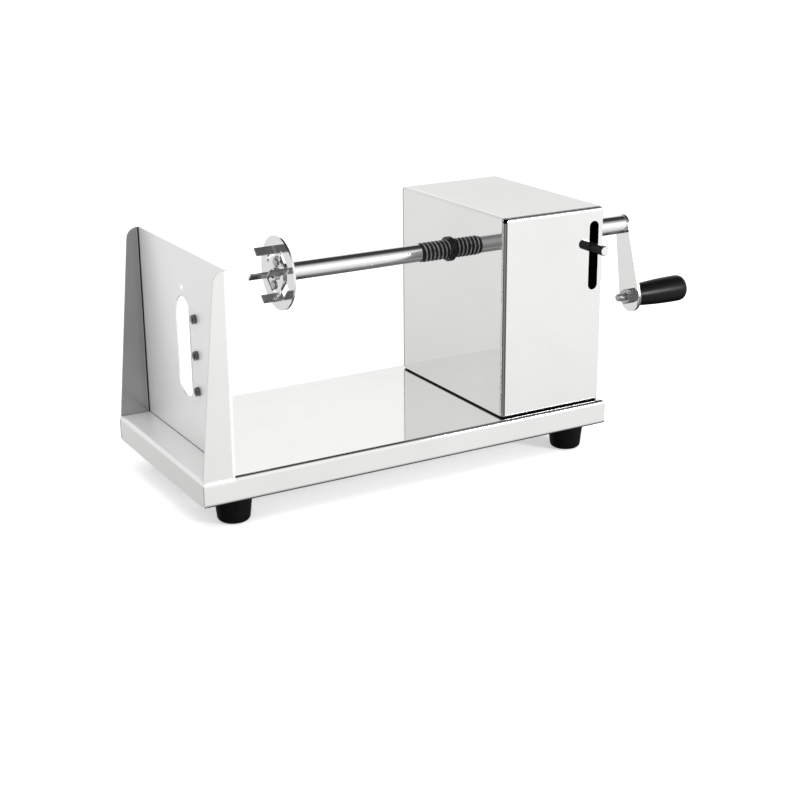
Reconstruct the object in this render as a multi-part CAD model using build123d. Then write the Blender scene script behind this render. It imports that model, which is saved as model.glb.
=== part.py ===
from build123d import *
from math import cos, radians, sin
import os

# Hand-cranked spiral potato cutter: a folded tray on rubber feet, a blade stand at one end, a
# housing with a screw-fed hollow spindle at the other, and a crank.
#
# Built in the tray's own axes: X runs along the tray from the blade end, Y from the front edge
# to the back, and Z is 0 on the tray's top sheet. All pieces are moved at the end, so that the
# origin lies on the floor under the middle of the whole machine. Sizes are in millimetres.

# ---- driving sizes ------------------------------------------------------------------------------
sheet = 1.2  # stainless sheet of tray, stand and housing
weld_gap = 0.05  # between two pieces that are glued, pressed or welded together
running_gap = 0.08  # radial play of a shaft in its bush or of a pivot in its eye
side_gap = 0.3  # play between moving faces that aren't a fit
hole_play = 0.2  # radial play of a screw in its hole
past = 1.0  # how far a cut runs past the face that it opens

# tray
base_length = 310.0
base_width = 150.0
base_height = 17.6
base_bend = 2.7
lip_width = 34.0
seam_gap = 0.5
screw_inset_front = 36.0  # from the housing's front to its screws
screw_inset_back = 30.0

# rubber feet and their M5 fixings
foot_top_radius = 12.8
foot_low_radius = 10.6
foot_height = 19.2
foot_round = 3.0
foot_recess_radius = 6.2
foot_recess_depth = 9.5
foot_inset_left = 27.6
foot_inset_right = 20.0
foot_inset_side = 20.0
foot_washer_thickness = 1.0

# blade stand
stand_inset = 1.5
stand_height = 132.4
stand_plate_x = 21.8  # outer face of the upright plate
stand_bend = 2.5
wing_foot_x = 0.4
wing_top_x = 13.6
wing_round = 8.0
tab_width = 14.0
tab_depth = 4.0
tab_spread = 96.0

# slice slot and skewer hole in the stand
spindle_z = 106.4
slot_radius = 12.0
slot_low_z = 32.3
slot_high_z = 100.2
slot_nib_radius = 1.3
slot_nib_z = 102.9
skewer_hole_radius = 2.0

# blade
blade_length = 74.0
blade_width = 30.0
blade_thickness = 1.0
blade_low_z = 28.5
blade_edge_offset = 1.3  # the edge lies this far behind the spindle's axis
blade_hole_radius = 1.9
blade_hole_inset = 7.8
blade_hole_pitch = 24.3
bevel_width = 7.0
bevel_start = 11.0
bevel_step = 0.2
edge_thickness = 0.12
spacer_radius = 3.4
blade_head_height = 1.7
blade_nut_height = 2.4
blade_screw_end = 0.4

# housing
housing_right_gap = 2.7  # how far the tray stands out behind the housing
housing_length = 83.0
housing_front_y = 4.7
housing_depth = 136.8
housing_height = 140.4
housing_bend = 3.0
housing_foot_bend = 2.2
foot_gap = 0.6  # under the front wall, between the bends
housing_lip = 16.0
rear_lip = 10.0
corner_relief_radius = 2.3
front_trim = 4.0  # how far the foot lips stop behind the front wall
cover_inset = 1.0
cover_corner = 2.0
cover_screw_places = (0.2, 0.8)  # of the housing's height
lever_slot_inset = 8.7  # from the housing's right side to the slot's middle
lever_slot_radius = 3.85
lever_slot_low_z = 82.2
lever_slot_high_z = 130.8

# spindle
disc_thickness = 1.5
disc_radius = 25.2
prong_count = 4
prong_length = 13.5
prong_width = 5.8
prong_radius = 13.8
prong_first_angle = 45.0  # to the middle of a window, from the back towards the top
hub_flange_radius = 11.8
hub_flange_thickness = 1.5
hub_nose_radius = 4.6
hub_nose_length = 2.2
hub_plug_length = 14.0
hub_round = 0.6
rivet_circle = 8.5
rivet_angle = 104.0
rivet_radius = 1.6
rivet_head_radius = 3.3
rivet_head_height = 1.6
rivet_dome = 0.8  # of the head's height
tube_radius = 6.2
tube_bore_radius = 5.0
tube_length = 109.3  # from the disc's front face to the screw
screw_front_reach = 24.7  # how far the screw stands out of the housing at rest
screw_back_reach = 38.7
screw_radius = 6.9
screw_pitch = 3.25  # feed per turn, so also the thickness of the slice
skewer_bore_radius = 3.1
front_spigot = 15.0
rear_spigot = 25.0

# bushes in the two housing walls
bush_flange_radius = 8.8
bush_flange = 2.0
bush_neck_radius = 7.8
bush_snap_radius = 8.5
bush_snap = 2.2
bush_seat_gap = 0.1
bush_round = 0.7

# crank
crank_hub_radius = 6.9
crank_hub_length = 31.5
crank_radius = 54.5
crank_lean = 13.3  # degrees from straight down, towards the front
arm_thickness = 2.2
arm_hub_radius = 7.3
arm_end_radius = 11.8
grip_length = 46.5
grip_root_radius = 8.0
grip_crown_radius = 10.0
grip_crown_place = 0.87
grip_end_radius = 7.9
grip_washer = 0.6
grip_belly = 0.5  # how much fuller than a cone the grip is halfway
grip_recess_radius = 5.9
grip_recess_depth = 6.0
grip_bolt_end = 11.5  # how far the bolt stands out behind the arm
grip_head_radius = 5.0
grip_head_height = 3.6

# half nut and its lever
nut_length = 9.4
nut_half_width = 11.0
nut_low = 1.5  # above the spindle's axis
nut_high = 17.6
nut_round = 2.0
nut_screw_share = 0.6  # of the half width, from the middle to a screw
nut_screw_low = 4.0  # below the block's top
nut_screw_wall = 1.5  # left in front of a screw's blind end
arm_bar_thickness = 3.0
lever_pivot_inset = 15.5  # from the housing's back
lever_rise = 5.6  # above the spindle's axis
lever_eye_radius = 8.0
bar_half_height = 7.0
bar_rise = 7.0
bar_top = 2.0  # above the half nut
bar_clearance = 1.5  # round the screw
tab_inset = 17.3  # from the housing's front
tab_half_width = 6.2
rod_radius = 3.4
rod_reach = 13.0  # how far the rod stands out of the housing
rod_tip_chamfer = 0.5
pivot_spacer_radius = 5.0
pivot_washer_thickness = 1.2
pivot_nut_height = 5.5

# fasteners
m3_radius = 1.5
m3_head_radius = 2.8
m3_head_height = 1.8
m3_head_round = 0.7
m3_length = 5.0
m3_nut = 5.5  # across flats
m4_radius = 2.0
m4_head_radius = 3.9
m4_head_height = 2.6
m4_head_round = 0.9
m4_nut = 7.0
m4_nut_height = 3.2
m5_radius = 2.5
m5_head_radius = 4.7
m5_head_height = 3.4
m5_head_round = 1.2
m5_nut = 8.0
m5_nut_height = 4.0
m6_radius = 3.0
m6_head_height = 4.0
m6_nut = 10.0
m6_nut_height = 5.0
m6_washer_radius = 6.0
m6_end_chamfer = 0.8
screw_end = 1.5  # how far a screw stands out of its nut

# ---- places that follow from them ---------------------------------------------------------------
spindle_y = base_width / 2
stand_inner_x = stand_plate_x + sheet
blade_back_x = stand_inner_x + screw_pitch
blade_front_x = blade_back_x + blade_thickness
blade_edge_y = spindle_y + blade_edge_offset
blade_hole_y = blade_edge_y - blade_width + blade_hole_inset
blade_mid_z = blade_low_z + blade_length / 2
blade_hole_zs = [blade_mid_z + k * blade_hole_pitch for k in (-1, 0, 1)]

housing_right_x = base_length - housing_right_gap
housing_left_x = housing_right_x - housing_length
housing_back_y = housing_front_y + housing_depth
cover_front_y = housing_back_y - sheet
wall_hole_radius = bush_neck_radius + running_gap

tray_floor_z = -base_height  # underside of the lips
foot_low_z = tray_floor_z - foot_height
foot_places = [
    (x, y)
    for x in (foot_inset_left, base_length - foot_inset_right)
    for y in (foot_inset_side, base_width - foot_inset_side)
]

screw_left_x = housing_left_x - screw_front_reach
screw_right_x = housing_right_x + screw_back_reach
disc_x = screw_left_x - tube_length  # face of the disc that meets the potato
bush_bore_radius = screw_radius + running_gap

arm_left_x = screw_right_x + crank_hub_length
arm_right_x = arm_left_x + arm_thickness
handle_y = spindle_y - crank_radius * sin(radians(crank_lean))
handle_z = spindle_z - crank_radius * cos(radians(crank_lean))
grip_left_x = arm_right_x + grip_washer + side_gap
grip_right_x = grip_left_x + grip_length

lever_slot_x = housing_right_x - lever_slot_inset
lever_pivot_y = housing_back_y - lever_pivot_inset
lever_z = spindle_z + lever_rise
tab_front_y = housing_front_y + tab_inset
rod_tip_y = housing_front_y - rod_reach
rear_snap_x = housing_right_x - sheet - bush_seat_gap - bush_snap
nut_right_x = rear_snap_x - side_gap
nut_left_x = nut_right_x - nut_length
bar_left_x = nut_left_x - arm_bar_thickness
nut_top_z = spindle_z + nut_high
nut_screw_z = nut_top_z - nut_screw_low
nut_screw_ys = [spindle_y + side * nut_half_width * nut_screw_share for side in (-1, 1)]


# ---- building blocks ----------------------------------------------------------------------------
def block(x0, x1, y0, y1, z0, z1):
    """A box between two corners."""
    return Pos((x0 + x1) / 2, (y0 + y1) / 2, (z0 + z1) / 2) * Box(x1 - x0, y1 - y0, z1 - z0)


def rod_x(radius, x0, x1, y=spindle_y, z=spindle_z):
    """A cylinder along X, on the spindle's axis unless told otherwise."""
    return Pos((x0 + x1) / 2, y, z) * Rot(0, 90, 0) * Cylinder(radius, x1 - x0)


def rod_y(radius, x, y0, y1, z):
    """A cylinder along Y."""
    return Pos(x, (y0 + y1) / 2, z) * Rot(90, 0, 0) * Cylinder(radius, y1 - y0)


def rod_z(radius, x, y, z0, z1):
    """A cylinder along Z."""
    return Pos(x, y, (z0 + z1) / 2) * Cylinder(radius, z1 - z0)


def hexagon(across_flats):
    """The outline of a nut."""
    return RegularPolygon(across_flats / 2, 6, major_radius=False)


def nut_x(across_flats, bore, x0, x1, y, z):
    """A hexagon nut along X."""
    profile = hexagon(across_flats) - Circle(bore)
    return Pos(x0, y, z) * Rot(0, 90, 0) * extrude(profile, x1 - x0)


def nut_z(across_flats, bore, x, y, z0, z1):
    """A hexagon nut along Z."""
    return Pos(x, y, z0) * extrude(hexagon(across_flats) - Circle(bore), z1 - z0)


def nut_y(across_flats, bore, x, y0, y1, z):
    """A hexagon nut along Y, with two of its flats upright."""
    profile = Rot(0, 0, 30) * hexagon(across_flats) - Circle(bore)
    return Pos(x, y0, z) * Rot(-90, 0, 0) * extrude(profile, y1 - y0)


def in_plane_x(x, outline, thickness):
    """An outline drawn in Y and Z, made solid from x towards +X."""
    return extrude(Plane.YZ.offset(x) * outline, thickness, dir=(1, 0, 0))


def folded(x0, x1, y0, y1, z0, z1, rounds):
    """A closed hollow box of sheet. rounds(box, radius cut) fillets the outer and the inner box."""
    outer = rounds(block(x0, x1, y0, y1, z0, z1), 0)
    inner = rounds(block(x0 + sheet, x1 - sheet, y0 + sheet, y1 - sheet, z0 + sheet, z1 - sheet), sheet)
    return outer - inner


# ---- tray and feet ------------------------------------------------------------------------------
def tray_rounds(box, cut):
    """The tray's bends: all round the top, and where its lips fold under the long sides."""
    top = box.edges().group_by(Axis.Z)[-1]
    low = box.edges().group_by(Axis.Z)[0].filter_by(Axis.X)
    return fillet(top + low, base_bend - cut)


def stand_tab_places():
    """The middles of the stand's tabs along Y."""
    return [base_width / 2 + side * tab_spread / 2 for side in (-1, 1)]


def housing_screw_places():
    """Where the housing's lips are screwed down on the tray."""
    inset = sheet + (housing_lip - sheet) / 2
    return [
        (x, y)
        for x in (housing_left_x + inset, housing_right_x - inset)
        for y in (housing_front_y + screw_inset_front, housing_back_y - screw_inset_back)
    ]


def base_tray():
    """Top sheet with skirts all round and lips under the long sides, open underneath."""
    tray = folded(0, base_length, 0, base_width, tray_floor_z, 0, tray_rounds)
    low, high = tray_floor_z - past, tray_floor_z + 2 * sheet
    tray -= block(sheet, base_length - sheet, lip_width, base_width - lip_width, low, high)
    # seams where the lips and the long skirts meet the end skirts
    for x in (sheet, base_length - sheet - seam_gap):
        tray -= block(x, x + seam_gap, 0, base_width, low, tray_floor_z + base_bend)
    for x in (-past, base_length - base_bend):
        for y in (sheet, base_width - sheet - seam_gap):
            tray -= block(x, x + base_bend + past, y, y + seam_gap, low, -base_bend)
    for x, y in foot_places:
        tray -= rod_z(m5_radius + hole_play, x, y, low, high)
    for x, y in housing_screw_places():
        tray -= rod_z(m4_radius + hole_play, x, y, -2 * sheet, past)
    for y in stand_tab_places():
        half = tab_width / 2 + weld_gap
        left, right = stand_plate_x - weld_gap, stand_inner_x + weld_gap
        tray -= block(left, right, y - half, y + half, -2 * sheet, past)
    return tray


def rubber_foot():
    """A tapered foot, recessed underneath for its screw."""
    foot = Pos(0, 0, -foot_height / 2) * Cone(foot_low_radius, foot_top_radius, foot_height)
    foot = fillet(foot.edges().group_by(Axis.Z)[0], foot_round)
    foot -= rod_z(foot_recess_radius, 0, 0, -foot_height - past, -foot_height + foot_recess_depth)
    return foot - rod_z(m5_radius + hole_play, 0, 0, -foot_height, past)


def foot_ceiling_z():
    """The top of the recess under a foot."""
    return foot_low_z + foot_recess_depth


def foot_washer():
    """A washer that spreads the screw's head in the foot's recess."""
    top = foot_ceiling_z()
    washer = rod_z(foot_recess_radius - side_gap, 0, 0, top - foot_washer_thickness, top)
    return washer - rod_z(m5_radius + hole_play, 0, 0, top - 2 * foot_washer_thickness, top + past)


def foot_screw():
    """An M5 pan-head screw up through foot and lip."""
    seat = foot_ceiling_z() - foot_washer_thickness
    head = rod_z(m5_head_radius, 0, 0, seat - m5_head_height, seat)
    head = fillet(head.edges().group_by(Axis.Z)[0], m5_head_round)
    return head + rod_z(m5_radius, 0, 0, seat, tray_floor_z + sheet + m5_nut_height + screw_end)


def foot_nut():
    """The M5 nut on the tray's lip."""
    low = tray_floor_z + sheet
    return nut_z(m5_nut, m5_radius + weld_gap, 0, 0, low, low + m5_nut_height)


def at_feet(piece):
    """Four copies of a piece, one over each foot."""
    return [Pos(x, y, 0) * piece for x, y in foot_places]


# ---- blade stand --------------------------------------------------------------------------------
def stand_outline():
    """Side view of a wing: it leans back from its foot to a round shoulder."""
    wing = Polygon(
        (wing_foot_x, 0),
        (stand_inner_x, 0),
        (stand_inner_x, stand_height),
        (wing_top_x, stand_height),
        align=None,
    )
    shoulder = wing.vertices().group_by(Axis.Y)[-1].sort_by(Axis.X)[0]
    return fillet(shoulder, wing_round)


def slice_slot():
    """The slot that lets the cut spiral out, with the small nib at its top."""
    low = Pos(spindle_y, slot_low_z + slot_radius) * Circle(slot_radius)
    high = Pos(spindle_y, slot_high_z - slot_radius) * Circle(slot_radius)
    nib = Pos(spindle_y, slot_nib_z - slot_nib_radius) * Circle(slot_nib_radius)
    neck = Pos(spindle_y, slot_high_z - slot_radius / 2) * Rectangle(2 * slot_nib_radius, slot_radius)
    middle = Pos(spindle_y, (slot_low_z + slot_high_z) / 2) * Rectangle(
        2 * slot_radius, slot_high_z - slot_low_z - 2 * slot_radius
    )
    return low + middle + high + neck + nib


def blade_stand():
    """Upright plate with a wing folded towards the cutter's end on either side, tabbed into the tray."""
    front, back = stand_inset, base_width - stand_inset
    outer = block(-past, stand_inner_x, front, back, 0, stand_height)
    outer = fillet(outer.edges().filter_by(Axis.Z).group_by(Axis.X)[-1], stand_bend)
    inner = block(-2 * past, stand_plate_x, front + sheet, back - sheet, -past, stand_height + past)
    inner = fillet(inner.edges().filter_by(Axis.Z).group_by(Axis.X)[-1], stand_bend - sheet)
    side = extrude(Plane.XZ.offset(-base_width) * stand_outline(), base_width)
    stand = (outer - inner) & side
    stand -= in_plane_x(stand_plate_x - past, slice_slot(), sheet + 2 * past)
    stand -= rod_x(skewer_hole_radius, stand_plate_x - past, stand_inner_x + past)
    for z in blade_hole_zs:
        stand -= rod_x(m3_radius + hole_play, stand_plate_x - past, stand_inner_x + past, blade_hole_y, z)
    half = tab_width / 2
    for y in stand_tab_places():
        stand += block(stand_plate_x, stand_inner_x, y - half, y + half, -tab_depth, 0)
    return stand


def slicing_blade():
    """Flat blade, bevelled in two steps to the edge that meets the potato."""
    back = blade_edge_y - blade_width
    profile = Polygon(
        (blade_back_x, back),
        (blade_front_x, back),
        (blade_front_x, blade_edge_y - bevel_start),
        (blade_front_x - bevel_step, blade_edge_y - bevel_width),
        (blade_back_x + edge_thickness, blade_edge_y),
        (blade_back_x, blade_edge_y),
        align=None,
    )
    blade = Pos(0, 0, blade_low_z) * extrude(profile, blade_length)
    for z in blade_hole_zs:
        blade -= rod_x(blade_hole_radius, blade_back_x - past, blade_front_x + past, blade_hole_y, z)
    return blade


def blade_spacer(z):
    """Sleeve that holds the blade one slice away from the plate."""
    sleeve = rod_x(spacer_radius, stand_inner_x, blade_back_x, blade_hole_y, z)
    return sleeve - rod_x(m3_radius + hole_play, stand_inner_x - past, blade_back_x + past, blade_hole_y, z)


def blade_screw(z):
    """M3 button-head screw through blade, sleeve and plate."""
    head = rod_x(m3_head_radius, blade_front_x, blade_front_x + blade_head_height, blade_hole_y, z)
    head = fillet(head.edges().group_by(Axis.X)[-1], m3_head_round)
    end = stand_plate_x - blade_nut_height - blade_screw_end
    return head + rod_x(m3_radius, end, blade_front_x, blade_hole_y, z)


def blade_nut(z):
    """M3 nut on the outside of the plate."""
    left = stand_plate_x - blade_nut_height
    return nut_x(m3_nut, m3_radius + weld_gap, left, stand_plate_x, blade_hole_y, z)


# ---- housing ------------------------------------------------------------------------------------
def housing_rounds(box, cut):
    """The housing's bends: four upright edges, one over the top on the left, and two at the foot."""
    box = fillet(box.edges().filter_by(Axis.Z), housing_bend - cut)
    over = box.edges().filter_by(Axis.Y).group_by(Axis.Z)[-1].sort_by(Axis.X)[0]
    box = fillet(over, housing_bend - cut)
    feet = box.edges().filter_by(Axis.Y).group_by(Axis.Z)[0]
    return fillet(feet, housing_foot_bend - cut)


def lever_slot():
    """Slot in the front wall that the lever's rod travels in."""
    ends = (lever_slot_low_z + lever_slot_radius, lever_slot_high_z - lever_slot_radius)
    front, back = housing_front_y - past, housing_front_y + sheet + past
    left, right = lever_slot_x - lever_slot_radius, lever_slot_x + lever_slot_radius
    slot = block(left, right, front, back, *ends)
    for z in ends:
        slot += rod_y(lever_slot_radius, lever_slot_x, front, back, z)
    return slot


def rear_screw_places():
    """Where the rear cover is screwed to the housing's rear lips."""
    inset = sheet + (rear_lip - sheet) / 2
    return [
        (x, z)
        for x in (housing_left_x + inset, housing_right_x - inset)
        for z in [housing_height * share for share in cover_screw_places]
    ]


def housing_shell():
    """Folded box: front, both sides and top, with lips inside at the foot and round the open back."""
    left, right = housing_left_x, housing_right_x
    front, back = housing_front_y, cover_front_y
    shell = folded(left, right, front, back, 0, housing_height, housing_rounds)
    lip, bend, top = housing_lip, housing_bend, housing_height
    # open underneath, but for a lip along either side
    shell -= block(left + lip, right - lip, front + sheet, back + past, -past, 2 * sheet)
    shell -= block(left + bend, right - bend, front + sheet, front + front_trim, -past, 2 * sheet)
    shell -= block(left + bend, right - bend, front - past, front + 2 * sheet, -past, foot_gap)
    # open back inside its lips
    shell -= block(left + rear_lip, right - rear_lip, back - 2 * sheet, back + past, -past, top - rear_lip)
    # seam where the top sheet meets the front wall, and the relief where three folds meet
    seam_y = front + sheet
    shell -= block(left + bend, right + past, seam_y, seam_y + seam_gap, top - sheet - past, top + past)
    shell -= Pos(left + sheet, front + sheet, top - sheet) * Sphere(corner_relief_radius)
    shell -= rod_x(wall_hole_radius, left - past, right + past)
    shell -= lever_slot()
    shell -= rod_x(m6_radius + hole_play, right - 2 * sheet, right + past, lever_pivot_y, lever_z)
    for x, y in housing_screw_places():
        shell -= rod_z(m4_radius + hole_play, x, y, -past, 2 * sheet)
    for x, z in rear_screw_places():
        shell -= rod_y(m3_radius + weld_gap, x, back - 2 * sheet, back + past, z)
    return shell


def rear_cover():
    """Flat plate that closes the housing's back."""
    left, right = housing_left_x + cover_inset, housing_right_x - cover_inset
    cover = block(left, right, cover_front_y, housing_back_y, side_gap, housing_height - cover_inset)
    cover = fillet(cover.edges().filter_by(Axis.Y), cover_corner)
    for x, z in rear_screw_places():
        cover -= rod_y(m3_radius + hole_play, x, cover_front_y - past, housing_back_y + past, z)
    return cover


def rear_cover_screw(x, z):
    """M3 pan-head screw into the rear lip."""
    head = rod_y(m3_head_radius, x, housing_back_y, housing_back_y + m3_head_height, z)
    head = fillet(head.edges().group_by(Axis.Y)[-1], m3_head_round)
    return head + rod_y(m3_radius, x, cover_front_y - m3_length, housing_back_y, z)


def housing_screw(x, y):
    """M4 pan-head screw up through tray and lip."""
    head = rod_z(m4_head_radius, x, y, -sheet - m4_head_height, -sheet)
    head = fillet(head.edges().group_by(Axis.Z)[0], m4_head_round)
    return head + rod_z(m4_radius, x, y, -sheet, sheet + m4_nut_height + screw_end)


def housing_nut(x, y):
    """M4 nut on the housing's lip."""
    return nut_z(m4_nut, m4_radius + weld_gap, x, y, sheet, sheet + m4_nut_height)


# ---- spindle ------------------------------------------------------------------------------------
def bush(wall_x, outward):
    """Snap-in bush: flange outside the wall, neck in its hole, snap ring inside."""
    face = wall_x + outward * bush_seat_gap
    inside = wall_x - outward * (sheet + bush_seat_gap)
    body = rod_x(bush_flange_radius, *sorted((face, face + outward * bush_flange)))
    body += rod_x(bush_neck_radius, *sorted((face, inside)))
    body += rod_x(bush_snap_radius, *sorted((inside, inside - outward * bush_snap)))
    rim = body.edges().filter_by(GeomType.CIRCLE)
    rim = rim.sort_by(Axis.X)[0 if outward < 0 else -1]
    body = fillet(rim, bush_round)
    return body - rod_x(bush_bore_radius, wall_x - 2 * bush_flange_radius, wall_x + 2 * bush_flange_radius)


def around_spindle(piece, angle):
    """Turns a piece that is drawn over the axis to an angle round it, from the back towards the top."""
    return Pos(0, spindle_y, spindle_z) * Rot(angle - 90, 0, 0) * piece


def prong(angle):
    """One prong, lanced out of its window and bent towards the potato at the window's leading end."""
    root = -prong_length / 2
    low, high = prong_radius - prong_width / 2, prong_radius + prong_width / 2
    blank = block(disc_x - prong_length, disc_x + disc_thickness, root - disc_thickness, root, low, high)
    return around_spindle(blank, angle)


def prong_window(angle):
    """The window that a prong leaves behind in the disc."""
    half = prong_length / 2
    low, high = prong_radius - prong_width / 2, prong_radius + prong_width / 2
    cut = block(disc_x - past, disc_x + disc_thickness + past, -half, half, low, high)
    return around_spindle(cut, angle)


def prong_disc():
    """Round plate with four prongs bent out of its own sheet."""
    disc = rod_x(disc_radius, disc_x, disc_x + disc_thickness)
    angles = [prong_first_angle + k * 360 / prong_count for k in range(prong_count)]
    for angle in angles:
        disc -= prong_window(angle)
    for angle in angles:
        disc += prong(angle)
    for angle in rivet_angles():
        disc -= rivet_hole(angle)
    return disc - rod_x(tube_radius + weld_gap, disc_x - past, disc_x + disc_thickness + past)


def rivet_angles():
    """The two rivets stand opposite each other."""
    return [rivet_angle, rivet_angle + 180]


def rivet_hole(angle):
    """The hole for a rivet, through flange and disc."""
    left, right = disc_x - hub_flange_thickness - past, disc_x + disc_thickness + past
    return around_spindle(rod_x(rivet_radius + weld_gap, left, right, 0, rivet_circle), angle)


def disc_rivet(angle):
    """Domed rivet that holds the disc to its hub."""
    face = disc_x - hub_flange_thickness
    head = rod_x(rivet_head_radius, face - rivet_head_height, face, 0, rivet_circle)
    head = fillet(head.edges().filter_by(GeomType.CIRCLE).group_by(Axis.X)[0], rivet_head_height * rivet_dome)
    rivet = head + rod_x(rivet_radius, face, disc_x + disc_thickness, 0, rivet_circle)
    return around_spindle(rivet, angle)


def disc_hub():
    """Flanged plug that holds the disc on the tube and guides the skewer."""
    flange_left, right = disc_x - hub_flange_thickness, disc_x + hub_plug_length
    hub = rod_x(hub_flange_radius, flange_left, disc_x)
    hub += rod_x(hub_nose_radius, flange_left - hub_nose_length, flange_left)
    hub = fillet(hub.edges().filter_by(GeomType.CIRCLE).group_by(Axis.X)[0], hub_round)
    hub += rod_x(tube_bore_radius - weld_gap, disc_x, right)
    for angle in rivet_angles():
        hub -= rivet_hole(angle)
    return hub - rod_x(skewer_bore_radius, flange_left - hub_nose_length - past, right + past)


def front_tube():
    """Polished tube from the disc to the screw."""
    tube = rod_x(tube_radius, disc_x, screw_left_x)
    return tube - rod_x(tube_bore_radius, disc_x - past, screw_left_x + past)


def lead_screw():
    """Hollow screw bar with a spigot at either end. Its thread isn't cut here."""
    left, right = screw_left_x - front_spigot, screw_right_x + rear_spigot
    screw = rod_x(screw_radius, screw_left_x, screw_right_x)
    screw += rod_x(tube_bore_radius - weld_gap, left, right)
    return screw - rod_x(skewer_bore_radius, left - past, right + past)


# ---- crank --------------------------------------------------------------------------------------
def crank_hub():
    """Polished sleeve on the screw's rear spigot, closed at the crank."""
    hub = rod_x(crank_hub_radius, screw_right_x, arm_left_x)
    hub = fillet(hub.edges().filter_by(GeomType.CIRCLE).group_by(Axis.X)[-1], hub_round)
    return hub - rod_x(tube_bore_radius, screw_right_x - past, screw_right_x + rear_spigot + past)


def crank_arm():
    """Flat arm that widens from the hub to the handle."""
    ends = Pos(spindle_y, spindle_z) * Circle(arm_hub_radius)
    ends += Pos(handle_y, handle_z) * Circle(arm_end_radius)
    arm = in_plane_x(arm_left_x, make_hull(ends.edges()), arm_thickness)
    return arm - rod_x(m6_radius + hole_play, arm_left_x - past, arm_right_x + past, handle_y, handle_z)


def handle_bolt():
    """M6 bolt: its head sits in the grip's end, its thread passes the arm."""
    seat = grip_right_x - grip_recess_depth + side_gap
    head = rod_x(grip_head_radius, seat, seat + grip_head_height, handle_y, handle_z)
    head = fillet(head.edges().filter_by(GeomType.CIRCLE).group_by(Axis.X)[-1], m4_head_round)
    bolt = head + rod_x(m6_radius, arm_left_x - grip_bolt_end, seat, handle_y, handle_z)
    return chamfer(bolt.edges().filter_by(GeomType.CIRCLE).group_by(Axis.X)[0], m6_end_chamfer)


def handle_nut():
    """M6 nut that clamps the bolt to the arm."""
    return nut_x(m6_nut, m6_radius + weld_gap, arm_left_x - m6_nut_height, arm_left_x, handle_y, handle_z)


def handle_washer():
    """Washer between arm and grip."""
    right = arm_right_x + grip_washer
    washer = rod_x(m6_washer_radius, arm_right_x, right, handle_y, handle_z)
    return washer - rod_x(m6_radius + weld_gap, arm_right_x - past, right + past, handle_y, handle_z)


def handle_grip():
    """Turned grip: it swells towards its round end and turns on the bolt."""
    crown = grip_length * grip_crown_place
    swell = Spline(
        (0, grip_root_radius),
        (crown / 2, (grip_root_radius + grip_crown_radius) / 2 + grip_belly),
        (crown, grip_crown_radius),
        tangents=((1, 0.08), (1, 0)),
    )
    nose = Spline(
        (crown, grip_crown_radius),
        (grip_length, grip_end_radius),
        tangents=((1, 0), (0.35, -1)),
    )
    profile = make_face(
        [
            swell,
            nose,
            Line((grip_length, grip_end_radius), (grip_length, 0)),
            Line((grip_length, 0), (0, 0)),
            Line((0, 0), (0, grip_root_radius)),
        ]
    )
    grip = Pos(grip_left_x, handle_y, handle_z) * revolve(profile, Axis.X)
    grip -= rod_x(m6_radius + running_gap, grip_left_x - past, grip_right_x + past, handle_y, handle_z)
    recess_x = grip_right_x - grip_recess_depth
    return grip - rod_x(grip_recess_radius, recess_x, grip_right_x + past, handle_y, handle_z)


# ---- half nut and lever -------------------------------------------------------------------------
def half_nut():
    """Block that sits over the screw and holds it from above."""
    front, back = spindle_y - nut_half_width, spindle_y + nut_half_width
    nut = block(nut_left_x, nut_right_x, front, back, spindle_z + nut_low, nut_top_z)
    nut = fillet(nut.edges().filter_by(Axis.X).group_by(Axis.Z)[-1], nut_round)
    nut -= rod_x(bush_bore_radius, nut_left_x - past, nut_right_x + past)
    for y in nut_screw_ys:
        nut -= rod_x(m3_radius, nut_left_x - past, nut_right_x - nut_screw_wall, y, nut_screw_z)
    return nut


def half_nut_screw(y):
    """M3 screw through the lever's bar into the half nut."""
    head = rod_x(m3_head_radius, bar_left_x - m3_head_height, bar_left_x, y, nut_screw_z)
    head = fillet(head.edges().filter_by(GeomType.CIRCLE).group_by(Axis.X)[0], m3_head_round)
    end = nut_right_x - nut_screw_wall - side_gap
    return head + rod_x(m3_radius - weld_gap, bar_left_x, end, y, nut_screw_z)


def bar_outline():
    """Side view of the lever's bar: the pivot's eye, the rise over the screw, and the front end."""
    low, high = lever_z - bar_half_height, lever_z + bar_half_height
    top = nut_top_z + bar_top
    bar = Polygon(
        (lever_pivot_y, lever_z + lever_eye_radius),
        (lever_pivot_y, lever_z - lever_eye_radius),
        (tab_front_y, low),
        (tab_front_y, high),
        (spindle_y - nut_half_width - bar_rise, top),
        (spindle_y + nut_half_width + bar_rise, top),
        align=None,
    )
    gap = screw_radius + bar_clearance
    bar += Pos(lever_pivot_y, lever_z) * Circle(lever_eye_radius)
    bar -= Pos(spindle_y, spindle_z) * Circle(gap)
    return bar - Pos(spindle_y, spindle_z - gap) * Rectangle(2 * gap, 2 * gap)


def lever_bar():
    """Steel bar from the pivot's eye over the screw to the folded tab that carries the rod."""
    left, right = bar_left_x - past, nut_left_x + past
    tab_back_y = tab_front_y + arm_bar_thickness
    low, high = lever_z - bar_half_height, lever_z + bar_half_height
    bar = in_plane_x(bar_left_x, bar_outline(), arm_bar_thickness)
    bar += block(bar_left_x, lever_slot_x + tab_half_width, tab_front_y, tab_back_y, low, high)
    bar -= rod_x(m6_radius + running_gap, left, right, lever_pivot_y, lever_z)
    bar -= rod_y(m5_radius + weld_gap, lever_slot_x, tab_front_y - past, tab_back_y + past, lever_z)
    for y in nut_screw_ys:
        bar -= rod_x(m3_radius + hole_play, left, right, y, nut_screw_z)
    return bar


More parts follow.
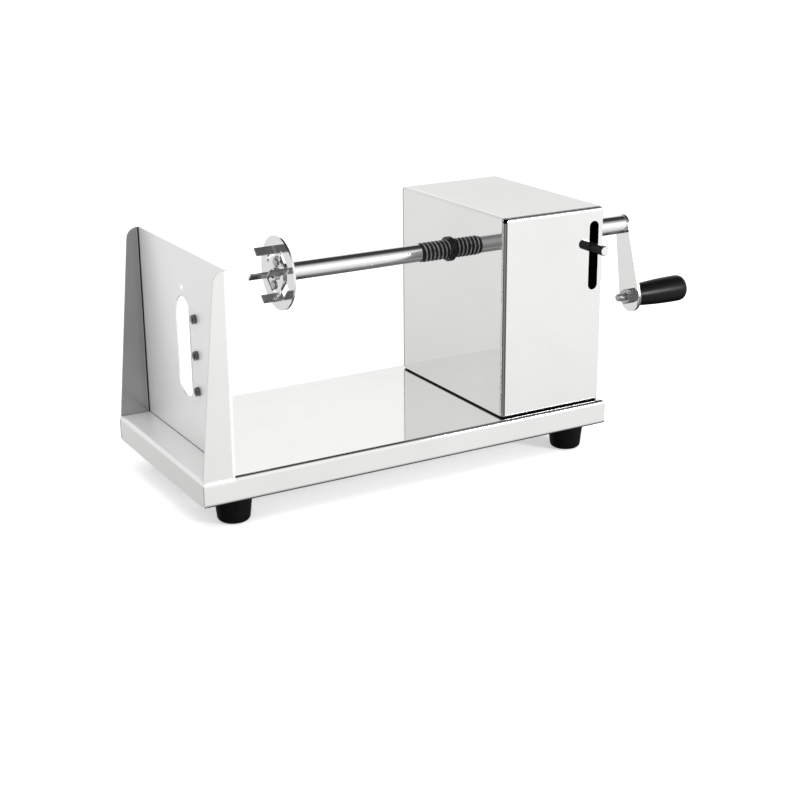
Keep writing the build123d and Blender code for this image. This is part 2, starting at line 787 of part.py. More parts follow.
def lever_rod():
    """Round rod that comes out through the slot, shouldered on the tab."""
    rod = rod_y(rod_radius, lever_slot_x, rod_tip_y, tab_front_y, lever_z)
    rod = chamfer(rod.edges().filter_by(GeomType.CIRCLE).group_by(Axis.Y)[0], rod_tip_chamfer)
    stud_end = tab_front_y + arm_bar_thickness + m5_nut_height + screw_end
    return rod + rod_y(m5_radius, lever_slot_x, tab_front_y, stud_end, lever_z)


def lever_rod_nut():
    """M5 nut behind the tab."""
    face = tab_front_y + arm_bar_thickness
    return nut_y(m5_nut, m5_radius + weld_gap, lever_slot_x, face, face + m5_nut_height, lever_z)


def pivot_bolt():
    """M6 bolt through the housing's side: the lever's eye turns on it."""
    head = Rot(0, 90, 0) * extrude(hexagon(m6_nut), m6_head_height)
    head = Pos(housing_right_x, lever_pivot_y, lever_z) * head
    end = bar_left_x - side_gap - pivot_washer_thickness - pivot_nut_height - screw_end
    return head + rod_x(m6_radius, end, housing_right_x, lever_pivot_y, lever_z)


def pivot_spacer():
    """Sleeve between the housing's side and the lever's eye."""
    right = housing_right_x - sheet
    left = nut_left_x + side_gap
    sleeve = rod_x(pivot_spacer_radius, left, right, lever_pivot_y, lever_z)
    return sleeve - rod_x(m6_radius + weld_gap, left - past, right + past, lever_pivot_y, lever_z)


def pivot_washer():
    """Washer on the free side of the lever's eye."""
    right = bar_left_x - side_gap
    left = right - pivot_washer_thickness
    washer = rod_x(m6_washer_radius, left, right, lever_pivot_y, lever_z)
    return washer - rod_x(m6_radius + weld_gap, left - past, right + past, lever_pivot_y, lever_z)


def pivot_nut():
    """Locking nut at the end of the pivot bolt."""
    right = bar_left_x - side_gap - pivot_washer_thickness
    return nut_x(m6_nut, m6_radius + weld_gap, right - pivot_nut_height, right, lever_pivot_y, lever_z)


# ---- the whole machine --------------------------------------------------------------------------
pieces = {
    "base_tray": [base_tray()],
    "rubber_feet": at_feet(Pos(0, 0, tray_floor_z) * rubber_foot()),
    "foot_washers": at_feet(foot_washer()),
    "foot_screws": at_feet(foot_screw()),
    "foot_nuts": at_feet(foot_nut()),
    "blade_stand": [blade_stand()],
    "slicing_blade": [slicing_blade()],
    "blade_spacers": [blade_spacer(z) for z in blade_hole_zs],
    "blade_screws": [blade_screw(z) for z in blade_hole_zs],
    "blade_nuts": [blade_nut(z) for z in blade_hole_zs],
    "housing_shell": [housing_shell()],
    "rear_cover": [rear_cover()],
    "rear_cover_screws": [rear_cover_screw(x, z) for x, z in rear_screw_places()],
    "housing_screws": [housing_screw(x, y) for x, y in housing_screw_places()],
    "housing_nuts": [housing_nut(x, y) for x, y in housing_screw_places()],
    "left_bush": [bush(housing_left_x, -1)],
    "right_bush": [bush(housing_right_x, 1)],
    "prong_disc": [prong_disc()],
    "disc_hub": [disc_hub()],
    "disc_rivets": [disc_rivet(angle) for angle in rivet_angles()],
    "front_tube": [front_tube()],
    "lead_screw": [lead_screw()],
    "crank_hub": [crank_hub()],
    "crank_arm": [crank_arm()],
    "handle_bolt": [handle_bolt()],
    "handle_nut": [handle_nut()],
    "handle_washer": [handle_washer()],
    "handle_grip": [handle_grip()],
    "half_nut": [half_nut()],
    "half_nut_screws": [half_nut_screw(y) for y in nut_screw_ys],
    "lever_bar": [lever_bar()],
    "lever_rod": [lever_rod()],
    "lever_rod_nut": [lever_rod_nut()],
    "pivot_bolt": [pivot_bolt()],
    "pivot_spacer": [pivot_spacer()],
    "pivot_washer": [pivot_washer()],
    "pivot_nut": [pivot_nut()],
}

# on the floor, under the middle of the machine with its crank and its lever
origin = Vector(grip_right_x / 2, (rod_tip_y + base_width) / 2, foot_low_z)

os.makedirs("parts", exist_ok=True)
for name, solids in pieces.items():
    moved = [solid for piece in solids for solid in (Pos(-origin) * piece).solids()]
    export_step(moved[0] if len(moved) == 1 else Compound(children=moved), f"parts/{name}.step")
print("origin in the tray's axes:", origin)
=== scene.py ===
# %% [markdown]
# # Dressing a hand-cranked spiral potato cutter
# The machine is a folded stainless tray on rubber feet, with a blade stand at one end and a box
# housing at the other. A hollow spindle runs through the housing and pushes the potato on to the
# blade. The solids come from CAD and are only loaded here. This lesson gives them their finishes,
# cuts the thread that the CAD left plain, and photographs the result in a white studio.

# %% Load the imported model
from math import cos, pi, radians, sin

import bpy
from mathutils import Matrix, Vector


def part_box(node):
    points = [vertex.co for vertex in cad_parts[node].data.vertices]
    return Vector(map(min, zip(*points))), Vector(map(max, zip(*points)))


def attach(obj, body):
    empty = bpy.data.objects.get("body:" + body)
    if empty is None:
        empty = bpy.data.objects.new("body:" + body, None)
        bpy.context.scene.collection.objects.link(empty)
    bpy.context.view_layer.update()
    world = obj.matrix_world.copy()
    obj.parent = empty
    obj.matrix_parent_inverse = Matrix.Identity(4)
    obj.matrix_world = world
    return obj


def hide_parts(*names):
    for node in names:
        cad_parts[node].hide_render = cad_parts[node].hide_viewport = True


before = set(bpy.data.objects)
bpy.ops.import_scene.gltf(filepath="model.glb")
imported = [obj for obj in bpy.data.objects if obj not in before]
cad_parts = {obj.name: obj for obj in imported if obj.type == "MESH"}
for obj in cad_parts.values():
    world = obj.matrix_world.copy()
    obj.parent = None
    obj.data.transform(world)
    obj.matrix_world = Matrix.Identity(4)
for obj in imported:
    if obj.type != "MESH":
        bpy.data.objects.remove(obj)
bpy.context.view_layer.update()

mm = 0.001  # everything is in metres

# %% [markdown]
# ## The camera
# A picture of a machine like this is taken from the front left and a little above, with a longish
# lens, so that upright edges stay nearly parallel. Setting the camera from two angles, a place and
# a lens keeps it readable. A camera in Blender looks along its own -Z, so its matrix is built from
# the three directions right, up and back.

# %% Camera
camera_azimuth = radians(-29.87)
camera_elevation = radians(18.81)
camera_roll = radians(-0.47)
camera_place = Vector((-0.54925, -0.90025, 0.3927))
lens_mm = 69.19
sensor_mm = 36.0

back = Vector((
    sin(camera_azimuth) * cos(camera_elevation),
    -cos(camera_azimuth) * cos(camera_elevation),
    sin(camera_elevation),
))
level = Vector((cos(camera_azimuth), sin(camera_azimuth), 0.0))
upward = back.cross(level)
right = level * cos(camera_roll) + upward * sin(camera_roll)
up = upward * cos(camera_roll) - level * sin(camera_roll)
camera_turn = Matrix((right, up, back)).transposed().to_4x4()

camera_data = bpy.data.cameras.new("camera")
camera_data.lens = lens_mm
camera_data.sensor_width = sensor_mm
camera = bpy.data.objects.new("camera", camera_data)
camera.matrix_world = Matrix.Translation(camera_place) @ camera_turn
bpy.context.collection.objects.link(camera)
bpy.context.scene.camera = camera
bpy.context.scene.view_settings.view_transform = "Standard"
print("camera distance to the model's middle:", round(camera_place.length, 3), "m")

# %% [markdown]
# ## Numbers that change over a surface
# A finish is easier to read as arithmetic than as a list of nodes and wires. The class `Field`
# wraps one output of a node. Adding, subtracting or multiplying fields adds the Math nodes that
# do the work. `step` and `fall` turn a number into a mask with a soft edge, which is how a finish
# says where on the piece something happens.


# %% Fields
class Field:
    """One number that changes over a surface: using it in arithmetic adds Math nodes."""

    def __init__(self, tree, socket):
        self.tree = tree
        self.socket = socket

    def math(self, operation, *values):
        """A Math node of the named operation."""
        node = self.tree.nodes.new("ShaderNodeMath")
        node.operation = operation
        for slot, value in zip(node.inputs, values):
            if isinstance(value, Field):
                self.tree.links.new(value.socket, slot)
            else:
                slot.default_value = value
        return Field(self.tree, node.outputs[0])

    def __add__(self, other):
        return self.math("ADD", self, other)

    def __radd__(self, other):
        return self.math("ADD", other, self)

    def __sub__(self, other):
        return self.math("SUBTRACT", self, other)

    def __rsub__(self, other):
        return self.math("SUBTRACT", other, self)

    def __mul__(self, other):
        return self.math("MULTIPLY", self, other)

    def __rmul__(self, other):
        return self.math("MULTIPLY", other, self)

    def size(self):
        """The number without its sign."""
        return self.math("ABSOLUTE", self)

    def root(self):
        """The square root."""
        return self.math("POWER", self, 0.5)

    def larger(self, other):
        """The larger of two numbers."""
        return self.math("MAXIMUM", self, other)

    def angle_over(self, other):
        """The angle whose tangent is this number divided by the other."""
        return self.math("ARCTAN2", self, other)

    def step(self, low, high):
        """0 below low and 1 above high, with a smooth rise between them."""
        node = self.tree.nodes.new("ShaderNodeMapRange")
        node.interpolation_type = "SMOOTHSTEP"
        self.tree.links.new(self.socket, node.inputs["Value"])
        node.inputs["From Min"].default_value = low
        node.inputs["From Max"].default_value = high
        return Field(self.tree, node.outputs["Result"])

    def fall(self, low, high):
        """1 below low and 0 above high."""
        return 1.0 - self.step(low, high)


print("fields are ready")

# %% [markdown]
# ## Every other node
# What isn't arithmetic, such as a noise or a shader, comes from one method, `Nodes.make`. It takes
# the node's type, its settings, and a number or a field for each socket that matters.


# %% Nodes
class Nodes:
    """The node tree of a material or of the world, with one method that makes any node."""

    def __init__(self, tree):
        self.tree = tree
        tree.nodes.clear()

    def make(self, kind, settings=None, values=None, output=0):
        """A node, as the field of the output that is asked for."""
        node = self.tree.nodes.new("ShaderNode" + kind)
        for name, value in (settings or {}).items():
            setattr(node, name, value)
        for name, value in (values or {}).items():
            if isinstance(value, Field):
                self.tree.links.new(value.socket, node.inputs[name])
            else:
                node.inputs[name].default_value = value
        return Field(self.tree, node.outputs[output] if len(node.outputs) else None)

    def axes(self, vector):
        """The three numbers of a vector."""
        node = self.make("SeparateXYZ", values={"Vector": vector}).socket.node
        return [Field(self.tree, node.outputs[k]) for k in range(3)]


print("nodes are ready")

# %% [markdown]
# ## Patterns that several finishes share
# All patterns are in the object's own metres, so they ride with the piece when it turns or slides.
# Noise stands for what a real surface picks up: rolling marks, a cloth's wipe, slight waves.


# %% Shared patterns
def grey(value):
    """A neutral colour."""
    return (value, value, value, 1.0)


def place_of(nodes):
    """The point on the piece, in metres."""
    return nodes.make("TexCoord", output="Object")


def noise(nodes, place, scale, detail, roughness, stretch=(1.0, 1.0, 1.0)):
    """Soft noise round 0.5, with features of about 1/scale metres."""
    scaled = nodes.make("Mapping", values={"Vector": place, "Scale": stretch})
    values = {"Vector": scaled, "Scale": scale, "Detail": detail, "Roughness": roughness}
    return nodes.make("TexNoise", values=values)


def bump(nodes, height):
    """A normal that follows a height in metres."""
    return nodes.make("Bump", values={"Height": height, "Strength": 1.0, "Distance": 1.0})


def blend(nodes, factor, low, high):
    """A colour between two colours."""
    # sockets 6 and 7 are the colours A and B of a Mix node, and output 2 is their blend
    return nodes.make("Mix", {"data_type": "RGBA"}, {0: factor, 6: low, 7: high}, output=2)


def new_material(name):
    """An empty material and its nodes."""
    material = bpy.data.materials.new(name)
    material.use_nodes = True
    return material, Nodes(material.node_tree)


def surface(nodes, values):
    """The Principled shader, wired to the output."""
    shader = nodes.make("BsdfPrincipled", values=values)
    nodes.make("OutputMaterial", values={"Surface": shader})


print("patterns are ready")

# %% [markdown]
# ## Polished stainless steel
# Mirror-polished sheet shows hardly any colour of its own: it shows the room. Two things tell it
# from a perfect mirror. Its sheen is uneven where a cloth has passed, and the sheet is never quite
# flat, so reflections bend a little. Both are noise, one on roughness and one on the normal.
# Some places differ from the rest: satin ones scatter light, and others get painted shade, a dark
# colour that stands in for shade.
# A finish gets these places as functions that return 1 inside the place and 0 outside it.

# %% Polished steel
hazy_tint = 0.965  # of the colour, where the cloth left a haze
hazy_roughness = 0.03
scratched_roughness = 0.05
scratch_depth = 0.01 * mm
satin_share = 0.7  # of the light, which a satin place scatters
dull_roughness = 0.25  # added in satin and in dark places


def nowhere(nodes, place):
    """No place at all."""
    return 0.0


def polished(
    name, colour, roughness, wave, scratch=0.0, satin=nowhere, dark=nowhere, painted_shade_tone=0.1
):
    """Polished steel: wave bends its reflections, scratch adds fine polishing lines."""
    material, nodes = new_material(name)
    place = place_of(nodes)
    cloth = noise(nodes, place, 14.0, 4.0, 0.6)
    fine = noise(nodes, place, 900.0, 2.0, 0.6, (1.0, 1.0, 0.04))
    ripple = noise(nodes, place, 9.0, 1.0, 0.4)
    haze = cloth.step(0.35, 0.75)
    hazy = [hazy_tint * c for c in colour]
    tint = blend(nodes, haze, (*colour, 1.0), (*hazy, 1.0))
    is_satin, is_painted_shade = satin(nodes, place), dark(nodes, place)
    # painted shade: where the dark place says, the colour goes to a dark grey that stands in for
    # shade
    if dark is not nowhere:
        tint = blend(nodes, is_painted_shade, tint, grey(painted_shade_tone))
    uneven = haze * hazy_roughness + fine * (scratched_roughness * scratch)
    surface(nodes, {
        "Base Color": tint,
        "Metallic": 1.0 - is_satin * satin_share,
        "Roughness": roughness + uneven + is_satin * dull_roughness + is_painted_shade * dull_roughness,
        "Normal": bump(nodes, ripple * wave + fine * (scratch_depth * scratch)),
    })
    return material


tube_steel = polished("polished_tube", (0.91, 0.91, 0.91), 0.10, 0.0, 0.6)
fastener_steel = polished("bright_fasteners", (0.50, 0.50, 0.51), 0.16, 0.0, 1.0)
# the blade's screws and nuts get a darker colour than the other fasteners: painted shade
blade_bolt_steel = polished("blade_fasteners", (0.16, 0.16, 0.17), 0.20, 0.0, 1.0)
bush_steel = polished("bush_metal", (0.07, 0.07, 0.07), 0.14, 0.0, 1.0)
print("made", tube_steel.name, fastener_steel.name, blade_bolt_steel.name, bush_steel.name)

# %% [markdown]
# ## Where the stand and the tray differ
# The stand's plate and the end of the tray outside it are satin. The insides of the wings get
# painted shade, a darker colour, and the inner folds and the foot line get a full painted shadow.
# Each place is found by comparing the point on the piece with the boxes of the CAD pieces, so
# that it follows them when their sizes change.

# %% Places on the stand and the tray
sheet = 1.2 * mm
# the share of the full painted shade that the wings' inner faces get
wing_painted_shade = 0.55
plate_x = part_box("slicing_blade")[0][0] - 4.45 * mm  # the plate's outer face
stand_low, stand_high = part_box("blade_stand")
stand_mid_y = (stand_low[1] + stand_high[1]) / 2
wing_inside = (stand_high[1] - stand_low[1]) / 2 - sheet


def on_plate(nodes, place):
    """The upright plate of the stand, without its wings."""
    return nodes.axes(place)[0].step(plate_x - 2.2 * mm, plate_x - 0.6 * mm)


def stand_painted_shade(nodes, place):
    """Painted shade on the stand: half on its wings' inner faces, full in its inner folds and along
    its foot line.
    """
    x, y, z = nodes.axes(place)
    off = (y - stand_mid_y).size()
    inner = off.fall(wing_inside + 0.1 * mm, wing_inside + 0.3 * mm)
    wing = inner * x.fall(plate_x - 1.6 * mm, plate_x - 0.4 * mm) * wing_painted_shade
    fold = inner * off.step(wing_inside - 1.1 * mm, wing_inside - 0.7 * mm)
    fold = fold * x.fall(plate_x, plate_x + 0.2 * mm)
    fold = fold * x.step(plate_x - 1.3 * mm, plate_x - 0.9 * mm)
    foot = inner * z.fall(stand_low[2] + 4.0 * mm, stand_low[2] + 4.8 * mm)
    return wing.larger(fold).larger(foot)


def outside_plate(nodes, place):
    """The end of the tray's top outside the stand's plate, down to the bend."""
    x, _, z = nodes.axes(place)
    on_top = z.step(stand_low[2] - 0.4 * mm, stand_low[2] + 3.5 * mm)
    return x.fall(plate_x - 0.4 * mm, plate_x) * on_top


print("plate's outer face at x", round(plate_x / mm, 2), "mm")

# %% [markdown]
# ## Where the housing, the crank and the disc differ
# The housing's inside and a line round its foot, where it meets the tray, get painted shade. The
# cut edges of the crank's arm and the prongs bent out of the disc are rougher than the polished
# faces, and their darker colour is painted shade.

# %% Places on the housing, the crank and the disc
shell_low, shell_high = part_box("housing_shell")
shell_skin = 1.0 * mm  # a bit less than the sheet, so that outer faces stay bright
shell_soft = 0.15 * mm
arm_low, arm_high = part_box("crank_arm")
disc_face_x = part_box("front_tube")[0][0]


def housing_painted_shade(nodes, place):
    """Painted shade: the housing's inner faces, and the lowest line of its outer ones."""
    x, y, z = nodes.axes(place)
    low = [edge + shell_skin for edge in shell_low]
    high = [edge - shell_skin for edge in shell_high]
    inside = x.step(low[0], low[0] + shell_soft) * x.fall(high[0] - shell_soft, high[0])
    inside = inside * y.step(low[1], low[1] + shell_soft)
    inside = inside * z.fall(high[2] - shell_soft, high[2])
    return inside.larger(z.fall(shell_low[2] + 0.8 * mm, shell_low[2] + 1.7 * mm))


def arm_edge_painted_shade(nodes, place):
    """Painted shade on the cut edges of the crank's arm, between its two faces."""
    x = nodes.axes(place)[0]
    behind_front = x.step(arm_low[0] + 0.1 * mm, arm_low[0] + 0.2 * mm)
    return behind_front * x.fall(arm_high[0] - 0.2 * mm, arm_high[0] - 0.1 * mm)


def prong_painted_shade(nodes, place):
    """Painted shade on the prongs, in front of the disc's face."""
    return nodes.axes(place)[0].fall(disc_face_x - 1.0 * mm, disc_face_x - 0.5 * mm)


print("disc's front face at x", round(disc_face_x / mm, 2), "mm")

# %% [markdown]
# ## The sheet pieces
# All are the same bright sheet. They differ in how smooth they are, in how far they are from flat,
# and in the places that were found above.

# %% Sheet finishes
bright = (0.91, 0.91, 0.906)
wide_wave = 0.04 * mm
small_wave = 0.02 * mm
sheet_steel = polished("polished_sheet", bright, 0.025, wide_wave)
tray_steel = polished("polished_tray", bright, 0.025, wide_wave, satin=outside_plate)
stand_steel = polished(
    "polished_stand", bright, 0.07, wide_wave, satin=on_plate, dark=stand_painted_shade, painted_shade_tone=0.02
)
housing_steel = polished(
    "polished_housing", bright, 0.025, wide_wave, dark=housing_painted_shade, painted_shade_tone=0.03
)
arm_steel = polished("polished_arm", bright, 0.03, small_wave, dark=arm_edge_painted_shade, painted_shade_tone=0.2)
disc_steel = polished("polished_disc", bright, 0.04, small_wave, dark=prong_painted_shade, painted_shade_tone=0.42)
print("made", sheet_steel.name, tray_steel.name, stand_steel.name)
print("made", housing_steel.name, arm_steel.name, disc_steel.name)

# %% [markdown]
# ## The blade
# The blade is ground, not polished: fine lines run along it from the grinding wheel, paler and
# darker in turn. Noise that is stretched far in one direction gives such lines, and it goes to the
# colour, the roughness and the normal together, as on real ground steel.

# %% Ground blade
blade_steel, nodes = new_material("ground_blade")
grind = noise(nodes, place_of(nodes), 1500.0, 3.0, 0.7, (1.0, 0.03, 1.0))
surface(nodes, {
    "Base Color": blend(nodes, grind.step(0.3, 0.7), grey(0.60), grey(0.74)),
    "Metallic": 1.0,
    "Roughness": 0.14 + grind * 0.18,
    "Normal": bump(nodes, grind * (0.004 * mm)),
})
print("made", blade_steel.name)

# %% [markdown]
# ## The black screw
# The lead screw is blackened steel with oil on it. Where the half nut rubs, on the crests of the
# thread, the black is worn and bare steel shows through. The distance from the screw's axis tells
# the crests from the roots, and a patchy noise makes the wear uneven.

# %% Blackened screw
spindle_low, spindle_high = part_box("lead_screw")
spindle_y = (spindle_low[1] + spindle_high[1]) / 2
spindle_z = (spindle_low[2] + spindle_high[2]) / 2
screw_radius = (spindle_high[2] - spindle_low[2]) / 2
coated_sheen = 0.35

black_screw, nodes = new_material("black_screw")
place = place_of(nodes)
_, along_y, along_z = nodes.axes(place)
off_y = along_y - spindle_y
off_z = along_z - spindle_z
radius = (off_y * off_y + off_z * off_z).root()
patchy = noise(nodes, place, 260.0, 4.0, 0.65)
uneven_radius = radius + (patchy - 0.5) * (1.0 * mm)
worn = uneven_radius.step(screw_radius - 0.3 * mm, screw_radius + 0.2 * mm)
surface(nodes, {
    "Base Color": blend(nodes, worn, grey(0.010), grey(0.50)),
    "Metallic": worn * 0.8,
    "Roughness": 0.30 + patchy * 0.16,
    "Specular IOR Level": coated_sheen,
    "Normal": bump(nodes, patchy * (0.04 * mm)),
})
print("made", black_screw.name, "for a radius of", round(screw_radius / mm, 2), "mm")

# %% [markdown]
# ## The black rod
# The rod of the lever is coated too, but its front face is turned bright. The face is the last
# tenth of a millimetre of the rod's length.

# %% Blackened rod
rod_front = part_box("lever_rod")[0][1]
black_rod, nodes = new_material("black_rod")
place = place_of(nodes)
_, along_y, _ = nodes.axes(place)
grain = noise(nodes, place, 600.0, 3.0, 0.6)
bare = along_y.fall(rod_front + 0.05 * mm, rod_front + 0.12 * mm)
surface(nodes, {
    "Base Color": blend(nodes, bare, grey(0.012), grey(0.86)),
    "Metallic": bare,
    "Roughness": 0.26 + grain * 0.12 - bare * 0.1,
    "Specular IOR Level": coated_sheen,
})
print("made", black_rod.name)

# %% [markdown]
# ## Plain steel and brass inside the housing
# Nobody polishes what sits inside. The lever's bar is mill-finished steel, dull with a faint
# grain, and the half nut is machined brass, with the tool's lines across it.


# %% Inside metals
def machined(name, colour, roughness, stretch):
    """Machined or mill-finished metal with lines across one direction."""
    material, nodes = new_material(name)
    place = place_of(nodes)
    lines = noise(nodes, place, 700.0, 3.0, 0.65, stretch)
    stain = noise(nodes, place, 60.0, 4.0, 0.6)
    stained = [0.72 * c for c in colour]
    surface(nodes, {
        "Base Color": blend(nodes, stain.step(0.3, 0.7) * 0.7, (*colour, 1.0), (*stained, 1.0)),
        "Metallic": 1.0,
        "Roughness": roughness + lines * 0.2,
        "Normal": bump(nodes, lines * (0.01 * mm)),
    })
    return material


mill_steel = machined("lever_steel", (0.46, 0.46, 0.47), 0.34, (1.0, 0.05, 1.0))
nut_brass = machined("nut_brass", (0.70, 0.52, 0.24), 0.28, (0.05, 1.0, 1.0))
print("made", mill_steel.name, nut_brass.name)

# %% [markdown]
# ## Black grip and rubber feet
# The grip is moulded plastic with a satin skin: nearly black, with a broad soft highlight and a
# very fine pebble. The feet are rubber: a bit greyer, much duller, with dust in the pores.


# %% Plastic and rubber
def moulded(name, colour, pale, roughness, pebble, sheen):
    """Moulded plastic or rubber: a fine pebble, and a paler bloom in patches."""
    material, nodes = new_material(name)
    place = place_of(nodes)
    skin = noise(nodes, place, 1400.0, 2.0, 0.5)
    bloom = noise(nodes, place, 90.0, 4.0, 0.6).step(0.45, 0.8)
    surface(nodes, {
        "Base Color": blend(nodes, bloom * 0.6, grey(colour), grey(pale)),
        "Roughness": roughness + bloom * 0.1,
        "Specular IOR Level": sheen,
        "Normal": bump(nodes, skin * pebble),
    })
    return material


grip_plastic = moulded("black_grip", 0.003, 0.006, 0.32, 0.02 * mm, 0.16)
foot_rubber = moulded("black_rubber", 0.004, 0.009, 0.5, 0.04 * mm, 0.05)
print("made", grip_plastic.name, foot_rubber.name)

# %% [markdown]
# ## Every CAD piece gets its finish
# The solids keep their shape, so only the material in their slots changes. A list from material
# to pieces keeps this in one place, and shows at a glance what is made of what. Three pieces are
# missing from it, because new ones stand in for them in the next cells.

# %% Finish the CAD pieces
finishes = {
    sheet_steel: ["rear_cover"],
    arm_steel: ["crank_arm"],
    tray_steel: ["base_tray"],
    stand_steel: ["blade_stand"],
    housing_steel: ["housing_shell"],
    disc_steel: ["prong_disc"],
    tube_steel: ["front_tube", "crank_hub", "disc_hub"],
    bush_steel: ["left_bush", "right_bush"],
    blade_bolt_steel: ["blade_screws", "blade_nuts"],
    blade_steel: ["slicing_blade"],
    fastener_steel: [
        "foot_washers", "foot_screws", "foot_nuts", "blade_spacers", "housing_screws",
        "housing_nuts", "disc_rivets", "handle_nut", "handle_washer", "half_nut_screws",
        "lever_rod_nut", "pivot_bolt", "pivot_spacer", "pivot_washer", "pivot_nut",
    ],
    black_rod: ["lever_rod"],
    mill_steel: ["lever_bar"],
    nut_brass: ["half_nut"],
    grip_plastic: ["handle_grip"],
    foot_rubber: ["rubber_feet"],
}
for material, names in finishes.items():
    for name in names:
        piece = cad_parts[name]
        piece.data.materials.clear()
        piece.data.materials.append(material)
print("finished", sum(map(len, finishes.values())), "of", len(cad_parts), "CAD pieces")

# %% [markdown]
# ## Turned pieces as stacks of rings
# A screw is a stack of rings along its axis. A function gives each ring's radius round the axis, so
# one ring can be round, climb with a thread, or have the shape of a hexagon or a cross. Joined ring
# to ring and closed at the ends, they make a solid that can't cut through itself.

# %% Rings
ring_points = 48


def ring(along, radius_at):
    """One ring of points round the X axis. radius_at is a number or a function of the angle."""
    points = []
    for k in range(ring_points):
        angle = 2 * pi * k / ring_points
        r = radius_at(angle) if callable(radius_at) else radius_at
        points.append(Vector((along, r * cos(angle), r * sin(angle))))
    return points


def wall(low, high):
    """The faces between two rings, given the number of each ring's first point."""
    faces = []
    for k in range(ring_points):
        m = (k + 1) % ring_points
        faces.append([low + k, low + m, high + m, high + k])
    return faces


def solid_of_rings(name, rings, places, hollow=False):
    """A mesh from a stack of rings, once at each place. A hollow one closes on itself."""
    vertices, faces = [], []
    for place in places:
        starts = [len(vertices) + ring_points * i for i in range(len(rings))]
        vertices += [place @ point for points in rings for point in points]
        for low, high in zip(starts, starts[1:]):
            faces += wall(low, high)
        if hollow:
            faces += wall(starts[-1], starts[0])
        else:
            faces.append([starts[0] + k for k in reversed(range(ring_points))])
            faces.append([starts[-1] + k for k in range(ring_points)])
    mesh = bpy.data.meshes.new(name)
    mesh.from_pydata(vertices, [], faces)
    mesh.validate()
    mesh.update()
    piece = bpy.data.objects.new(name, mesh)
    bpy.context.collection.objects.link(piece)
    return piece


def dress(piece, body, node, material):
    """Gives a new piece its finish and lets it stand in for a CAD piece."""
    piece.data.materials.append(material)
    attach(piece, body)
    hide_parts(node)
    print(piece.name, "stands in for", node, "with", len(piece.data.vertices), "points")


print("rings have", ring_points, "points")

# %% [markdown]
# ## The shape of a thread
# Seen along the screw, a thread rises and falls once in each pitch: a flat crest, a flank down, a
# flat root and a flank up. Shifting that shape by one pitch for each turn round the axis makes it
# climb. At both ends the thread fades out, as where a real one was cut into a plain bar.

# %% Threads
crest_share = 0.28  # of the pitch
flank_share = 0.44  # of the pitch, both flanks together
end_depth = 0.35  # of the full depth, at the thread's ends
run_in = 0.6  # of a pitch, until the thread is at its full depth


def clamp(value):
    """The number, kept between 0 and 1."""
    return min(1.0, max(0.0, value))


def thread_rings(start, end, pitch, depth, crest_radius, per_pitch):
    """The rings of a length with a right-hand thread."""
    def radius_at(along):
        ends = clamp(min(along - start, end - along) / (run_in * pitch))
        cut = depth * (end_depth + (1.0 - end_depth) * ends)

        def at_angle(angle):
            turn = ((along - start) / pitch - angle / (2 * pi)) % 1.0
            root = clamp((abs(turn - 0.5) * 2 - crest_share) / flank_share)
            return crest_radius - (depth - cut) - cut * root
        return at_angle

    steps = round((end - start) / pitch * per_pitch)
    places = [start + (end - start) * k / steps for k in range(steps + 1)]
    return [ring(along, radius_at(along)) for along in places]


print("a thread's crest is", crest_share, "of its pitch")

# %% [markdown]
# ## The lead screw's thread
# The CAD screw is a plain bar, so its thread is made here: a ridge that climbs one pitch for each
# turn. The stack then goes on over the two spigots and back through the bore.

# %% Lead screw
screw_pitch = 3.25 * mm
screw_depth = 0.85 * mm
bore_radius = 3.1 * mm
spigot_radius = 4.95 * mm
screw_front, screw_back = spindle_low[0], spindle_high[0]
thread_start = screw_front + 15 * mm
thread_end = screw_back - 25 * mm
rings = [
    ring(screw_front, bore_radius),
    ring(screw_front, spigot_radius),
    ring(thread_start, spigot_radius),
    *thread_rings(thread_start, thread_end, screw_pitch, screw_depth, screw_radius, 12),
    ring(thread_end, spigot_radius),
    ring(screw_back, spigot_radius),
    ring(screw_back, bore_radius),
]
spindle_axis = Matrix.Translation((0.0, spindle_y, spindle_z))
threaded_screw = solid_of_rings("threaded_screw", rings, [spindle_axis], hollow=True)
threaded_screw.data.shade_smooth()
dress(threaded_screw, "spindle", "lead_screw", black_screw)

# %% [markdown]
# ## Screw heads
# A screw's head is a short turned piece with a rounded edge. The key or the screwdriver goes into
# a socket in its end, which is a hexagon or a cross. Both shapes are a radius that depends on the
# angle round the axis, so a head is a stack of rings too.


# %% Heads and sockets
def hexagon(across_flats):
    """Radius of a hexagon round the axis."""
    return lambda angle: across_flats / 2 / cos((angle + pi / 6) % (pi / 3) - pi / 6)


def cross(reach, half_width):
    """Radius of a cross round the axis."""
    def radius_at(angle):
        off = abs((angle + pi / 4) % (pi / 2) - pi / 4)
        return min(reach, half_width / max(sin(off), 0.01))
    return radius_at


def head_rings(start, height, radius, edge, socket, depth):
    """A head with a rounded edge and a socket in its end."""
    rings = [ring(start, radius)]
    end = start + height
    arcs = 4
    for k in range(arcs + 1):
        turn = pi / 2 * k / arcs
        rings.append(ring(end - edge + edge * sin(turn), radius - edge + edge * cos(turn)))
    return rings + [ring(end, socket), ring(end - depth, socket)]


print("heads are ready")

# %% [markdown]
# ## The handle's bolt
# The grip turns on an M6 bolt. Its thread shows behind the nut, and its head, sunk in the grip's
# end, has a socket for a 4 mm key. It keeps the outside sizes of the CAD bolt.

